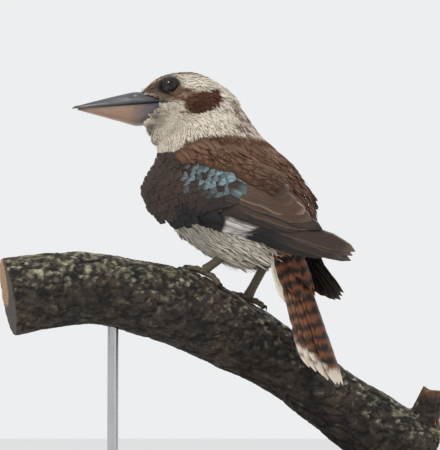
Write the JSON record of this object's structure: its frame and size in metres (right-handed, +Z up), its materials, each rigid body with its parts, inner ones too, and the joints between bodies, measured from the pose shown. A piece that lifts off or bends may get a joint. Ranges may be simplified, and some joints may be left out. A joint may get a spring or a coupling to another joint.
{
  "type": "laughing kookaburra",
  "caption": "Life-size laughing kookaburra standing on a cut length of branch, head turned to its left, wings folded and tail hanging, held on a plain museum display stand.",
  "frame": {"origin": "centre of the stand base's flat underside", "axes": "+Z up; +X along the branch towards the tail side, -X the way the bill points; +Y away from the side the picture shows"},
  "size_m": [0.3703, 0.165, 0.3742],
  "materials": {
    "head_feathers": "soft feathers, matt",
    "neck_feathers": "soft feathers, matt",
    "body_feathers": "soft feathers, matt",
    "wing_feathers": "smooth feathers, low sheen",
    "tail_feathers": "smooth barred feathers, low sheen",
    "bill_dark": "horn, satin",
    "bill_horn": "horn, satin",
    "eye": "wet gloss",
    "leg_scales": "fine scales, matt",
    "bark": "rough bark with lichen",
    "base_wood": "stained, satin",
    "rod_steel": "brushed"
  },
  "bodies": {
    "root": {"head": "head_feathers", "neck": "neck_feathers", "torso": "body_feathers", "bill_upper": "bill_dark", "bill_lower": "bill_horn", "eye_left": "eye", "eye_right": "eye", "wing_left": "wing_feathers", "wing_right": "wing_feathers", "tail": "tail_feathers", "leg_left": "leg_scales", "leg_right": "leg_scales", "foot_left": "leg_scales", "foot_right": "leg_scales", "perch": "bark", "stand_base": "base_wood", "stand_rod_1": "rod_steel", "stand_rod_2": "rod_steel"}
  },
  "joints": []
}
